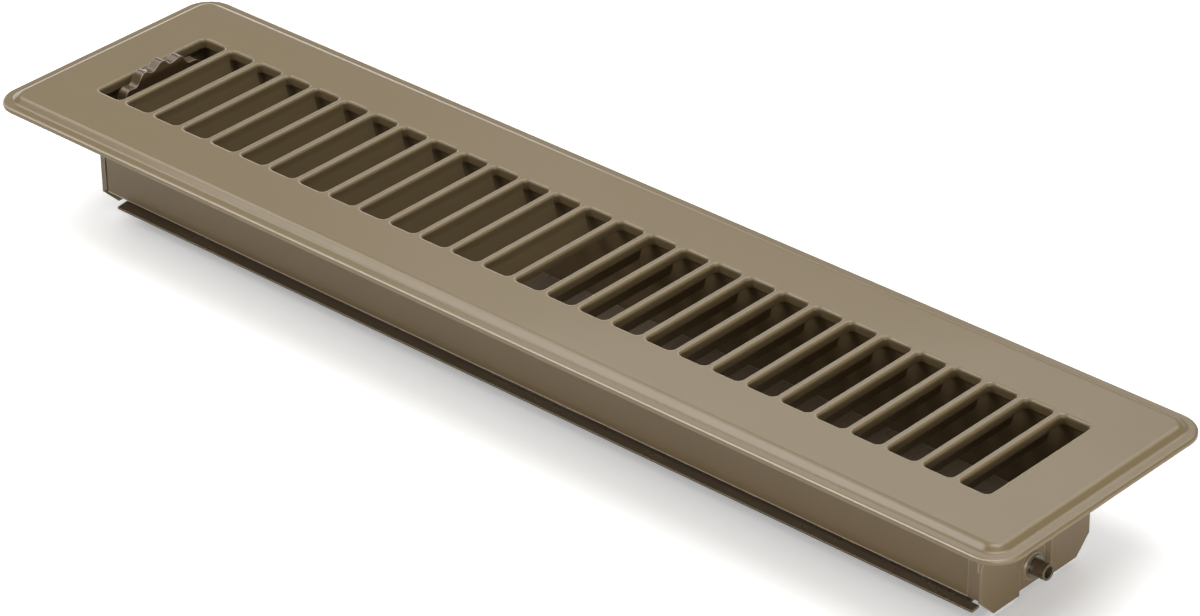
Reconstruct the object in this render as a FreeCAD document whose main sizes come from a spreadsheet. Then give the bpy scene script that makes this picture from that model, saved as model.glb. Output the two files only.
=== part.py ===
import FreeCAD, Part
import math
import os
import re
import Sketcher

# Stamped steel floor register: louvred faceplate, damper box, tilting damper blade and thumb wheel.
# Z = 0 is the floor that the rim lies on. X runs along the row of slots, Y = 0 is the middle of the width.

doc = FreeCAD.newDocument("FloorRegister")

# Driving dimensions in millimetres, angles in degrees
drivingSizes = {
    "endMargin": 23.1,
    "sideMargin": 23.9,
    "faceRise": 3.3,
    "faceSheet": 0.8,
    "faceCorner": 9.4,
    "lipRise": 1.5,
    "lipWidth": 2.9,
    "lipEdgeRadius": 1.1,
    "rimSlope": 42.0,
    "shoulderRadius": 1.5,
    "footRadius": 0.8,
    "slotCount": 28.0,
    "slotPitch": 12.57,
    "slotWidth": 10.0,
    "slotLength": 45.2,
    "slotCorner": 1.7,
    "slotEdgeRadius": 1.0,
    "collarDepth": 3.15,
    "leftFinCount": 13.0,
    "rightFinCount": 14.0,
    "finAngle": 16.0,
    "finBend": 9.0,
    "finRun": 6.0,
    "boxSheet": 0.7,
    "endInset": 0.3,
    "collarGap": 0.15,
    "boxBend": 0.6,
    "wallBottom": 30.8,
    "topFlange": 6.0,
    "plateBottom": 37.5,
    "shelfDepth": 7.2,
    "plateChamfer": 6.0,
    "plateStep": 2.9,
    "wideFlange": 4.5,
    "narrowFlange": 2.15,
    "flangeGap": 0.9,
    "channelDepth": 1.4,
    "channelFloor": 11.2,
    "channelSlope": 45.0,
    "reliefWidth": 0.9,
    "reliefDepth": 21.9,
    "pivotDepth": 31.4,
    "pivotRadius": 2.5,
    "pivotStand": 4.4,
    "runningGap": 0.08,
    "hubRing": 1.8,
    "hubRise": 0.8,
    "hubChamfer": 0.35,
    "retainerRadius": 3.4,
    "retainerSheet": 0.5,
    "bladeTilt": 6.0,
    "stripOverhang": 3.45,
    "stripOffset": 0.35,
    "bladeSideGap": 1.25,
    "wheelRoom": 10.8,
    "bladeEndGap": 1.0,
    "crankRadius": 5.0,
    "crankAngle": 30.0,
    "studRadius": 1.0,
    "studHead": 1.5,
    "studHeadHeight": 0.7,
    "studEndGap": 0.2,
    "earWidth": 5.0,
    "wheelDepth": 18.0,
    "wheelRadius": 21.4,
    "wheelBand": 3.4,
    "bandSheet": 0.8,
    "wheelSheet": 0.7,
    "wheelHub": 6.0,
    "hubDish": 1.4,
    "dishSlope": 45.0,
    "toothValley": 21.55,
    "toothCrest": 24.6,
    "toothPitch": 19.5,
    "toothRise": 12.7,
    "toothCount": 5.0,
    "firstTooth": 49.7,
    "crestRound": 2.2,
    "valleyRound": 2.2,
    "studSlack": 0.3,
    "notchHalfTurn": 27.7,
    "notchDepth": 10.3,
    "axleRadius": 2.0,
    "axleHead": 4.0,
    "axleHeadHeight": 1.0,
    "axleClinch": 3.1,
    "frictionSheet": 0.25,
    "frictionRadius": 5.0,
    "faceGap": 0.05,
}

dims = doc.addObject("Spreadsheet::Sheet", "dims")
for row, (alias, amount) in enumerate(drivingSizes.items(), start=1):
    dims.set("A%d" % row, alias)
    dims.set("B%d" % row, str(amount))
    dims.setAlias("B%d" % row, alias)
doc.recompute()

# Sizes that follow from the driving ones, written in the sheet's words
sheetZ = "(faceRise - faceSheet)"
rimBends = "(shoulderRadius + footRadius)"
slopeDrop = "(faceRise - lipRise - %s * (1 - cos(rimSlope)))" % rimBends
slotSpan = "((slotCount - 1) / 2 * slotPitch)"
edgeX = "(%s + slotWidth / 2 + endMargin)" % slotSpan
edgeY = "(slotLength / 2 + sideMargin)"
rimRun = "(lipWidth + %s * sin(rimSlope) + %s / tan(rimSlope))" % (rimBends, slopeDrop)
fieldX = "(%s - %s)" % (edgeX, rimRun)
fieldY = "(%s - %s)" % (edgeY, rimRun)
fieldCorner = "(faceCorner - %s)" % rimRun
collarZ = "(faceRise - collarDepth)"
firstSlot = "(-%s)" % slotSpan
plateX = "(%s + slotWidth / 2 - endInset)" % slotSpan
wallY = "(slotLength / 2 + faceSheet + collarGap + boxSheet)"
plateTop = "(-shelfDepth)"
channelSide = "(channelDepth / tan(channelSlope))"
channelTurn = "(boxSheet * tan(channelSlope / 2))"
channelHalf = "(channelFloor / 2)"
floorOut = "(%s - channelDepth)" % plateX
floorIn = "(%s - boxSheet)" % floorOut
riserX = "(%s + plateStep)" % plateX
bladeLow = "(pivotRadius - boxSheet)"
tubeEnd = "(%s + pivotStand)" % plateX
nearReach = "(%s + stripOverhang)" % wallY
stripReach = "(%s + stripOffset)" % wallY
farReach = "(%s - bladeSideGap)" % wallY
bladeLeft = "(%s - wheelRoom)" % plateX
bladeRight = "(%s - bladeEndGap)" % floorIn
studY = "(crankRadius * sin(crankAngle + bladeTilt))"
studZ = "(crankRadius * cos(crankAngle + bladeTilt))"
wheelX = "(-%s + faceGap + frictionSheet)" % floorIn
notchRise = "(pivotDepth - wheelDepth - crankRadius * cos(crankAngle))"
notchTurn = "(atan(crankRadius * sin(crankAngle) / %s) / (1 deg))" % notchRise


def words(text):
    # The same expression with each size named in full, as other objects must name it
    return re.sub(r"[A-Za-z]\w*", lambda found: "dims." + found.group()
                  if found.group() in drivingSizes else found.group(), str(text))


def number(text):
    return float(dims.evalExpression(str(text)))


def bind(thing, field, text):
    thing.setExpression(field, words(text))


def newBody(name, x="0", y="0", z="0", axis=FreeCAD.Vector(0, 0, 1), turn="0"):
    made = doc.addObject("PartDesign::Body", name)
    made.Label = name
    made.Placement = FreeCAD.Placement(FreeCAD.Vector(number(x), number(y), number(z)),
                                       FreeCAD.Rotation(axis, number(turn)))
    for field, text in (("Base.x", x), ("Base.y", y), ("Base.z", z)):
        if text != "0":
            bind(made, "Placement." + field, text)
    if turn != "0":
        bind(made, "Placement.Rotation.Angle", turn)
    return made


def originPart(owner, role):
    return next(part for part in owner.Origin.OriginFeatures if part.Role == role)


def sketchOn(owner, name, role, offset="0"):
    made = owner.newObject("Sketcher::SketchObject", name)
    made.AttachmentSupport = [(originPart(owner, role), "")]
    made.MapMode = "FlatFace"
    if offset != "0":
        made.AttachmentOffset = FreeCAD.Placement(FreeCAD.Vector(0, 0, number(offset)), FreeCAD.Rotation())
        bind(made, "AttachmentOffset.Base.z", offset)
    return made


def fixPoint(sketch, geometry, point, across, text):
    if abs(number(text)) < 1e-9:
        sketch.addConstraint(Sketcher.Constraint("PointOnObject", geometry, point, -2 if across else -1))
        return
    kind = "DistanceX" if across else "DistanceY"
    made = sketch.addConstraint(Sketcher.Constraint(kind, -1, 1, geometry, point, number(text)))
    bind(sketch, "Constraints[%d]" % made, text)


def vectorOf(point):
    return FreeCAD.Vector(number(point[0]), number(point[1]), 0)


def drawOutline(sketch, start, steps):
    # Closed outline from start. A step is (end,) for a line and (end, centre, turn) for an arc, turn 1 leftwards.
    here = start
    pieces = []
    for step in steps:
        begin = vectorOf(here)
        end = vectorOf(step[0])
        if len(step) == 1:
            made = sketch.addGeometry(Part.LineSegment(begin, end), False)
            pieces.append((made, 1, 2))
        else:
            centre = vectorOf(step[1])
            circle = Part.Circle(centre, FreeCAD.Vector(0, 0, 1), (begin - centre).Length)
            first, last = (begin, end) if step[2] > 0 else (end, begin)
            angles = [math.atan2((spot - centre).y, (spot - centre).x) for spot in (first, last)]
            made = sketch.addGeometry(Part.ArcOfCircle(circle, angles[0], angles[1]), False)
            pieces.append((made, 1, 2) if step[2] > 0 else (made, 2, 1))
            chord = end - begin
            fixPoint(sketch, made, 3, abs(chord.y) > abs(chord.x), step[1][0 if abs(chord.y) > abs(chord.x) else 1])
        here = step[0]
    for index, (made, enter, leave) in enumerate(pieces):
        following = pieces[(index + 1) % len(pieces)]
        sketch.addConstraint(Sketcher.Constraint("Coincident", made, leave, following[0], following[1]))
        fixPoint(sketch, made, leave, True, steps[index][0][0])
        fixPoint(sketch, made, leave, False, steps[index][0][1])


def drawPolygon(sketch, points):
    drawOutline(sketch, points[0], [(point,) for point in points[1:] + points[:1]])


def drawCircle(sketch, x, y, radius):
    made = sketch.addGeometry(Part.Circle(vectorOf((x, y)), FreeCAD.Vector(0, 0, 1), number(radius)), False)
    fixPoint(sketch, made, 3, True, x)
    fixPoint(sketch, made, 3, False, y)
    size = sketch.addConstraint(Sketcher.Constraint("Radius", made, number(radius)))
    bind(sketch, "Constraints[%d]" % size, radius)


def drawRounded(sketch, halfX, halfY, radius, opened=False):
    # Rectangle with rounded corners, begun at the middle of its +Y side when opened is set
    lowX, lowY = "(-%s)" % halfX, "(-%s)" % halfY
    inX, inY = "(%s - %s)" % (halfX, radius), "(%s - %s)" % (halfY, radius)
    lowInX, lowInY = "(-%s)" % inX, "(-%s)" % inY
    steps = [((lowInX, halfY),), ((lowX, inY), (lowInX, inY), 1), ((lowX, lowInY),),
             ((lowInX, lowY), (lowInX, lowInY), 1), ((inX, lowY),), ((halfX, lowInY), (inX, lowInY), 1),
             ((halfX, inY),), ((inX, halfY), (inX, inY), 1)]
    if opened:
        drawOutline(sketch, ("0", halfY), steps + [(("0", halfY),)])
    else:
        drawOutline(sketch, (inX, halfY), steps)


def extrude(kind, owner, name, sketch, length, turned=False, middle=False):
    made = owner.newObject("PartDesign::" + kind, name)
    made.Profile = sketch
    made.Length = number(length)
    bind(made, "Length", length)
    made.Reversed = turned
    if middle:
        made.SideType = "Symmetric"
    return made


def repeat(owner, name, features, axis, length, count):
    made = owner.newObject("PartDesign::LinearPattern", name)
    made.Originals = features
    made.Direction = (originPart(owner, axis), [""])
    bind(made, "Length", length)
    bind(made, "Occurrences", count)
    owner.Tip = made
    return made


def namesOf(feature, wanted):
    return ["Edge%d" % index for index, edge in enumerate(feature.Shape.Edges, start=1) if wanted(edge)]


def roundEdges(owner, name, feature, radius, wanted):
    doc.recompute()
    made = owner.newObject("PartDesign::Fillet", name)
    made.Base = (feature, namesOf(feature, wanted))
    bind(made, "Radius", radius)
    return made


def near(first, second):
    return abs(first - second) < 1e-4


def lineEdge(edge, axis):
    # True for a straight edge along the axis numbered 0, 1 or 2
    if not isinstance(edge.Curve, Part.Line):
        return False
    return near(abs(edge.Curve.Direction[axis]), 1.0)


# Faceplate: one stamping with a raised field, a turned-down rim, drawn slot collars and slanted fins
faceplate = newBody("faceplate")
rimPath = sketchOn(faceplate, "rimPath", "XY_Plane", "0")
drawRounded(rimPath, fieldX, fieldY, fieldCorner, opened=True)

rimSection = sketchOn(faceplate, "rimSection", "YZ_Plane")
footY = "(%s - lipWidth)" % edgeY


def rimPoint(base, radius, lift):
    # Point on a bend of the rim where the slope begins or ends
    return ("(%s + %s * sin(rimSlope))" % (base, radius), "(%s + %s * cos(rimSlope))" % (lift, radius))


shoulderMid = (fieldY, "(faceRise - shoulderRadius)")
footMid = (footY, "(lipRise + footRadius)")
lipMid = ("(%s - lipEdgeRadius)" % edgeY, "(lipRise - lipEdgeRadius)")
innerEdge = "(%s - faceSheet)" % edgeY
outerShoulder = rimPoint(shoulderMid[0], "shoulderRadius", shoulderMid[1])
innerShoulder = rimPoint(shoulderMid[0], "(shoulderRadius - faceSheet)", shoulderMid[1])
outerFoot = rimPoint(footMid[0], "(-footRadius)", footMid[1])
innerFoot = rimPoint(footMid[0], "(-footRadius - faceSheet)", footMid[1])
drawOutline(rimSection, (fieldY, "faceRise"), [
    (outerShoulder, shoulderMid, -1),
    (outerFoot,),
    ((footY, "lipRise"), footMid, 1),
    ((lipMid[0], "lipRise"),),
    ((edgeY, lipMid[1]), lipMid, -1),
    ((edgeY, "0"),),
    ((innerEdge, "0"),),
    ((innerEdge, "(lipRise - faceSheet)"),),
    ((footY, "(lipRise - faceSheet)"),),
    (innerFoot, footMid, -1),
    (innerShoulder,),
    ((fieldY, sheetZ), shoulderMid, 1),
    ((fieldY, "faceRise"),),
])
rim = faceplate.newObject("PartDesign::AdditivePipe", "rim")
rim.Profile = rimSection
rim.Spine = (rimPath, ["Edge%d" % (index + 1) for index in range(9)])
rim.Mode = "Standard"

fieldSketch = sketchOn(faceplate, "fieldOutline", "XY_Plane", sheetZ)
drawRounded(fieldSketch, fieldX, fieldY, fieldCorner)
field = extrude("Pad", faceplate, "field", fieldSketch, "faceSheet")

cornerTurns = (0, 45, 90)


def drawSlot(sketch, growth):
    # First slot's outline grown by an amount, each corner turned in short straight steps
    points = []
    radius = "(slotCorner + %s)" % growth
    for sideX, sideY, start in ((1, 1, 0), (-1, 1, 90), (-1, -1, 180), (1, -1, 270)):
        centreX = "(%s + %d * (slotWidth / 2 - slotCorner))" % (firstSlot, sideX)
        centreY = "(%d * (slotLength / 2 - slotCorner))" % sideY
        for turn in cornerTurns:
            points.append(("(%s + %s * cos(%d))" % (centreX, radius, start + turn),
                           "(%s + %s * sin(%d))" % (centreY, radius, start + turn)))
    drawPolygon(sketch, points)


collarSketch = sketchOn(faceplate, "collarOutline", "XY_Plane", collarZ)
collarX = "(slotWidth / 2 + faceSheet)"
collarY = "(slotLength / 2 + faceSheet)"
drawPolygon(collarSketch, [("(%s - %s)" % (firstSlot, collarX), "-" + collarY),
                           ("(%s + %s)" % (firstSlot, collarX), "-" + collarY),
                           ("(%s + %s)" % (firstSlot, collarX), collarY),
                           ("(%s - %s)" % (firstSlot, collarX), collarY)])
collar = extrude("Pad", faceplate, "collar", collarSketch, "(collarDepth - faceSheet / 2)")
roundSections = []
for turn in reversed(cornerTurns):
    level = "(faceRise - slotEdgeRadius * (1 - cos(%d)))" % (90 - turn)
    section = sketchOn(faceplate, "edgeSection%d" % turn, "XY_Plane", level)
    drawSlot(section, "(slotEdgeRadius * (1 - sin(%d)))" % (90 - turn))
    roundSections.append(section)
slotRound = faceplate.newObject("PartDesign::SubtractiveLoft", "slotRound")
slotRound.Profile = roundSections[0]
slotRound.Sections = [(section, [""]) for section in roundSections[1:]]
slotRound.Ruled = True
slotSketch = sketchOn(faceplate, "slotOutline", "XY_Plane", "(faceRise - slotEdgeRadius / 2)")
drawSlot(slotSketch, "0")
slot = extrude("Pocket", faceplate, "slot", slotSketch, "(collarDepth + faceSheet)")
repeat(faceplate, "slots", [collar, slotRound, slot], "X_Axis", "(slotPitch * (slotCount - 1))", "slotCount")


def finSketch(name, slotX, side):
    # Fin that leaves the rounded edge on the given side of a slot and slants across its opening
    made = sketchOn(faceplate, name, "XZ_Plane")
    wall = "(%s + %d * slotWidth / 2)" % (slotX, side)
    back = "(%s + %d * faceSheet)" % (wall, side)
    top = "(faceRise - slotEdgeRadius)"
    middle = ("(%s - %d * finBend)" % (wall, side), top)

    def along(radius, run):
        return ("(%s + %d * (%s * cos(finAngle) - %s * sin(finAngle)))" % (middle[0], side, radius, run),
                "(%s - %s * sin(finAngle) - %s * cos(finAngle))" % (middle[1], radius, run))

    outer = "(finBend + faceSheet)"
    drawOutline(made, (back, top), [
        (along(outer, "0"), middle, -side),
        (along(outer, "finRun"),),
        (along("finBend", "finRun"),),
        (along("finBend", "0"),),
        ((wall, top), middle, side),
        ((back, top),),
    ])
    return made


finLength = "(slotLength - 2 * slotCorner)"
leftFin = extrude("Pad", faceplate, "leftFin", finSketch("leftFinSection", "(%s + slotPitch)" % firstSlot, -1),
                  finLength, middle=True)
repeat(faceplate, "leftFins", [leftFin], "X_Axis", "(slotPitch * (leftFinCount - 1))", "leftFinCount")
rightStart = "(%s + slotPitch * (1 + leftFinCount))" % firstSlot
rightFin = extrude("Pad", faceplate, "rightFin", finSketch("rightFinSection", rightStart, 1), finLength, middle=True)
repeat(faceplate, "rightFins", [rightFin], "X_Axis", "(slotPitch * (rightFinCount - 1))", "rightFinCount")


# Side walls: two alike, each a bent strip with a flange that lies under the faceplate
def sideWall(name, turn):
    wall = newBody(name, turn=turn)
    section = sketchOn(wall, name + "Section", "YZ_Plane", "(-%s + narrowFlange + flangeGap)" % plateX)
    flangeY = "(-%s - topFlange)" % wallY
    drawPolygon(section, [("-" + wallY, "-wallBottom"), ("(boxSheet - %s)" % wallY, "-wallBottom"),
                          ("(boxSheet - %s)" % wallY, sheetZ), (flangeY, sheetZ),
                          (flangeY, "(%s - boxSheet)" % sheetZ), ("-" + wallY, "(%s - boxSheet)" % sheetZ)])
    strip = extrude("Pad", wall, name + "Strip", section,
                    "(2 * %s - narrowFlange - flangeGap - wideFlange)" % plateX)
    folded = roundEdges(wall, name + "Fold", strip, "boxBend", lambda edge: lineEdge(edge, 0) and (
        near(edge.BoundBox.YMin, number("boxSheet - " + wallY)) and edge.BoundBox.ZMin > 0
        or near(edge.BoundBox.YMin, -number(wallY)) and edge.BoundBox.ZMin > 0))
    wall.Tip = folded
    return wall


sideWall("near_side_wall", "0")
sideWall("far_side_wall", "180")


# End plates: two alike but for the wheel's axle hole, each with side flanges, a centre channel and a top shelf
def endPlate(name, turn, axleHole):
    plate = newBody(name, turn=turn)
    side = wallY
    inner = "(%s - boxSheet)" % plateX
    mouth = "(%s + %s)" % (channelHalf, channelSide)
    plan = sketchOn(plate, name + "Plan", "XY_Plane", "-plateBottom")
    drawPolygon(plan, [
        ("(%s - wideFlange)" % plateX, "-" + side), (plateX, "-" + side), (plateX, "-" + mouth),
        (floorOut, "-" + channelHalf), (floorOut, channelHalf), (plateX, mouth), (plateX, side),
        ("(%s - narrowFlange)" % plateX, side), ("(%s - narrowFlange)" % plateX, "(%s - boxSheet)" % side),
        (inner, "(%s - boxSheet)" % side), (inner, "(%s + %s)" % (mouth, channelTurn)),
        (floorIn, "(%s + %s)" % (channelHalf, channelTurn)),
        (floorIn, "(-%s - %s)" % (channelHalf, channelTurn)),
        (inner, "(-%s - %s)" % (mouth, channelTurn)), (inner, "(boxSheet - %s)" % side),
        ("(%s - wideFlange)" % plateX, "(boxSheet - %s)" % side)])
    sheet = extrude("Pad", plate, name + "Sheet", plan, "(plateBottom + %s)" % plateTop)
    roundEdges(plate, name + "Fold", sheet, "boxBend", lambda edge: lineEdge(edge, 2) and (
        near(edge.BoundBox.XMin, number(plateX)) and near(abs(edge.BoundBox.YMin), number(side))))

    corners = sketchOn(plate, name + "Corners", "YZ_Plane", "(%s + plateStep)" % plateX)
    for way in (1, -1):
        drawPolygon(corners, [("%d * (%s + plateStep)" % (way, side), "(-plateBottom - plateStep)"),
                              ("%d * (%s + plateStep)" % (way, side), "(-plateBottom + plateChamfer + plateStep)"),
                              ("%d * (%s - plateChamfer - plateStep)" % (way, side), "(-plateBottom - plateStep)")])
    extrude("Pocket", plate, name + "CornerCut", corners, "(4 * plateStep + wideFlange)")

    low = "(-plateBottom - plateStep)"
    back = "(%s - wideFlange - plateStep)" % inner
    wideEnd = sketchOn(plate, name + "WideEnd", "XZ_Plane", "(%s + plateStep)" % side)
    drawPolygon(wideEnd, [(inner, low), (inner, "-wallBottom"), (back, "-wallBottom"), (back, low)])
    extrude("Pocket", plate, name + "WideCut", wideEnd, "(plateStep + 2 * boxSheet)")
    narrowEnd = sketchOn(plate, name + "NarrowEnd", "XZ_Plane", "(-%s - plateStep)" % side)
    drawPolygon(narrowEnd, [(inner, low), (inner, "(-plateBottom + plateChamfer)"),
                            (back, "(-plateBottom + plateChamfer + wideFlange + plateStep)"), (back, low)])
    extrude("Pocket", plate, name + "NarrowCut", narrowEnd, "(plateStep + 2 * boxSheet)", turned=True)

    relief = sketchOn(plate, name + "Relief", "YZ_Plane", "(%s + plateStep)" % plateX)
    drawPolygon(relief, [("(-%s - plateStep)" % side, "-reliefDepth"), ("-" + side, "-reliefDepth"),
                         ("(-%s + reliefWidth)" % side, "-wheelDepth"),
                         ("(-%s + reliefWidth)" % side, "(plateStep - shelfDepth)"),
                         ("(-%s - plateStep)" % side, "(plateStep - shelfDepth)")])
    extrude("Pocket", plate, name + "Slit", relief, "(plateStep + 1.5 * boxSheet)")

    shelf = sketchOn(plate, name + "ShelfPlan", "XY_Plane", "(%s - boxSheet)" % plateTop)
    drawPolygon(shelf, [(inner, "-" + side), (riserX, "-" + side), (riserX, side), (inner, side),
                        (inner, "(%s + %s)" % (mouth, channelTurn)),
                        (floorIn, "(%s + %s)" % (channelHalf, channelTurn)),
                        (floorIn, "(-%s - %s)" % (channelHalf, channelTurn)),
                        (inner, "(-%s - %s)" % (mouth, channelTurn))])
    extrude("Pad", plate, name + "Shelf", shelf, "boxSheet")

    hook = sketchOn(plate, name + "HookSection", "XZ_Plane")
    reach = "(%s + topFlange)" % riserX
    drawPolygon(hook, [("(%s - boxSheet)" % riserX, "(%s - boxSheet)" % plateTop),
                       (riserX, "(%s - boxSheet)" % plateTop), (riserX, "(%s - boxSheet)" % sheetZ),
                       (reach, "(%s - boxSheet)" % sheetZ), (reach, sheetZ),
                       ("(%s - boxSheet)" % riserX, sheetZ)])
    extrude("Pad", plate, name + "Hook", hook, "(2 * %s)" % side, middle=True)

    cheeks = sketchOn(plate, name + "Cheeks", "XY_Plane", "(%s - boxSheet)" % plateTop)
    for way, flange in ((-1, "wideFlange"), (1, "narrowFlange")):
        cheekBack = "(%s - %s)" % (plateX, flange)
        outer = "%d * %s" % (way, side)
        drawPolygon(cheeks, [(cheekBack, outer), (riserX, outer), (riserX, "%d * (%s - boxSheet)" % (way, side)),
                             (cheekBack, "%d * (%s - boxSheet)" % (way, side))])
    extrude("Pad", plate, name + "CheekSheet", cheeks, "(shelfDepth + %s + boxSheet)" % sheetZ)

    hub = sketchOn(plate, name + "HubRing", "YZ_Plane", floorOut)
    drawCircle(hub, "0", "-pivotDepth", "(pivotRadius + runningGap + hubRing)")
    hubPad = extrude("Pad", plate, name + "Hub", hub, "hubRise")
    doc.recompute()
    crown = plate.newObject("PartDesign::Chamfer", name + "HubChamfer")
    crown.Base = (hubPad, namesOf(hubPad, lambda edge: (
        isinstance(edge.Curve, Part.Circle) and near(edge.BoundBox.XMin, number(floorOut + " + hubRise"))
        and near(edge.Curve.Radius, number("pivotRadius + runningGap + hubRing")))))
    bind(crown, "Size", "hubChamfer")
    holes = sketchOn(plate, name + "Holes", "YZ_Plane", "(%s + plateStep)" % plateX)
    drawCircle(holes, "0", "-pivotDepth", "(pivotRadius + runningGap)")
    if axleHole:
        drawCircle(holes, "0", "-wheelDepth", "axleRadius")
    plate.Tip = extrude("Pocket", plate, name + "HoleCut", holes, "(2 * plateStep + channelDepth + boxSheet)")
    return plate


endPlate("right_end_plate", "0", False)
endPlate("left_end_plate", "180", True)

# Damper blade: drawn level about its own pivot axis, then tilted into its shut position
tiltAxis = FreeCAD.Vector(1, 0, 0)
blade = newBody("damper_blade", z="-pivotDepth", axis=tiltAxis, turn="bladeTilt")
bladePlan = sketchOn(blade, "bladePlan", "XY_Plane", bladeLow)
drawPolygon(bladePlan, [("-" + bladeLeft, "-" + nearReach), (plateX, "-" + nearReach), (plateX, "-" + stripReach),
                        (bladeRight, "-" + stripReach), (bladeRight, farReach), ("-" + bladeLeft, farReach)])
bladeSheet = extrude("Pad", blade, "bladeSheet", bladePlan, "boxSheet")
tubeSection = sketchOn(blade, "tubeSection", "YZ_Plane", "-" + tubeEnd)
drawCircle(tubeSection, "0", "0", "pivotRadius")
drawCircle(tubeSection, "0", "0", bladeLow)
tube = extrude("Pad", blade, "pivotTube", tubeSection, "(2 * %s)" % tubeEnd)
earSection = sketchOn(blade, "earOutline", "YZ_Plane", "-" + bladeLeft)
earLow = "(%s - earWidth / 2)" % studY
earHigh = "(%s + earWidth / 2)" % studY
drawOutline(earSection, (earHigh, bladeLow), [
    ((earHigh, studZ),),
    ((earLow, studZ), (studY, studZ), 1),
    ((earLow, bladeLow),),
    ((earHigh, bladeLow),),
])
drawCircle(earSection, studY, studZ, "studRadius")
blade.Tip = extrude("Pad", blade, "ear", earSection, "boxSheet")

# Drive stud, riveted in the blade's ear
stud = newBody("drive_stud", z="-pivotDepth", axis=tiltAxis, turn="bladeTilt")
studShank = sketchOn(stud, "studShank", "YZ_Plane", "(-%s + studEndGap)" % floorIn)
drawCircle(studShank, studY, studZ, "studRadius")
extrude("Pad", stud, "shank", studShank, "(%s - studEndGap - %s + boxSheet)" % (floorIn, bladeLeft))
studTop = sketchOn(stud, "studTop", "YZ_Plane", "(boxSheet - %s)" % bladeLeft)
drawCircle(studTop, studY, studZ, "studHead")
stud.Tip = extrude("Pad", stud, "studCap", studTop, "studHeadHeight")


# Push-on retainers, one on each pivot tube outside the hub rings
def retainer(name, turn):
    made = newBody(name, z="-pivotDepth", turn=turn)
    section = sketchOn(made, name + "Ring", "YZ_Plane", "(%s + hubRise + runningGap)" % floorOut)
    drawCircle(section, "0", "0", "retainerRadius")
    drawCircle(section, "0", "0", "pivotRadius")
    made.Tip = extrude("Pad", made, name + "Sheet", section, "retainerSheet")
    return made


retainer("left_pivot_retainer", "180")
retainer("right_pivot_retainer", "0")

# Thumb wheel: thin disc and rim band, saw-toothed where the thumb rests, notched for the blade's pivot tube
wheel = newBody("thumbwheel", x=wheelX, z="-wheelDepth")
wheelSection = sketchOn(wheel, "wheelSection", "XZ_Plane")
dishRise = "(hubDish / tan(dishSlope))"
dishTurn = "(wheelSheet * tan(dishSlope / 2))"
bandBack = "(-wheelBand + hubDish + wheelSheet)"
bandInner = "(wheelRadius - bandSheet)"
drawPolygon(wheelSection, [
    ("0", "0"), ("0", "wheelHub"), ("hubDish", "(wheelHub + %s)" % dishRise), ("hubDish", bandInner),
    (bandBack, bandInner), (bandBack, "wheelRadius"), ("(hubDish + wheelSheet)", "wheelRadius"),
    ("(hubDish + wheelSheet)", "(wheelHub + %s - %s)" % (dishRise, dishTurn)),
    ("wheelSheet", "(wheelHub - %s)" % dishTurn), ("wheelSheet", "0")])
wheelTurn = wheel.newObject("PartDesign::Revolution", "wheelTurn")
wheelTurn.Profile = wheelSection
wheelTurn.ReferenceAxis = (originPart(wheel, "X_Axis"), [""])
wheelTurn.Angle = 360.0


def onWheel(radius, angle):
    # Point at an angle from the top of the wheel towards +Y
    return ("(%s * sin(%s))" % (radius, angle), "(%s * cos(%s))" % (radius, angle))


toothSketch = sketchOn(wheel, "toothOutline", "YZ_Plane", bandBack)
toothRoot = "(wheelRadius - bandSheet / 2)"
toothMiddle = "(toothPitch * toothCount / 2 - firstTooth)"
toothReach = "(toothPitch * (toothCount - 1) / 2)"
drawPolygon(toothSketch, [
    onWheel(toothRoot, "(-firstTooth)"), onWheel("toothValley", "(-firstTooth)"),
    onWheel("toothCrest", "(toothRise - firstTooth)"), onWheel("toothValley", "(toothPitch - firstTooth)"),
    onWheel(toothRoot, "(toothPitch - firstTooth)")])
tooth = extrude("Pad", wheel, "tooth", toothSketch, "wheelBand")
teeth = wheel.newObject("PartDesign::PolarPattern", "teeth")
teeth.Originals = [tooth]
teeth.Axis = (originPart(wheel, "X_Axis"), [""])
teeth.Reversed = True
bind(teeth, "Angle", "(toothPitch * (toothCount - 1))")
bind(teeth, "Occurrences", "toothCount")
wheel.Tip = teeth


def toothEdge(radius):
    return lambda edge: lineEdge(edge, 0) and near(
        math.hypot(edge.CenterOfMass.y, edge.CenterOfMass.z), number(radius))


crests = roundEdges(wheel, "crestRounds", teeth, "crestRound", toothEdge("toothCrest"))
roundEdges(wheel, "valleyRounds", crests, "valleyRound", lambda edge: toothEdge("toothValley")(edge) and abs(
    math.degrees(math.atan2(edge.CenterOfMass.y, edge.CenterOfMass.z)) - number(toothMiddle)) < number(toothReach))

notch = sketchOn(wheel, "notchOutline", "YZ_Plane", "(wheelBand)")
outside = "(wheelRadius + wheelBand)"


def fromNotch(radius, turn, aside="0"):
    # Point in the notch: turn is measured from its middle line and aside shifts it square to that line
    angle = "(%s + %s)" % (notchTurn, turn)
    return ("(%s * sin(%s) + %s * cos(%s))" % (radius, angle, aside, notchTurn),
            "(-%s * cos(%s) + %s * sin(%s))" % (radius, angle, aside, notchTurn))


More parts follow.
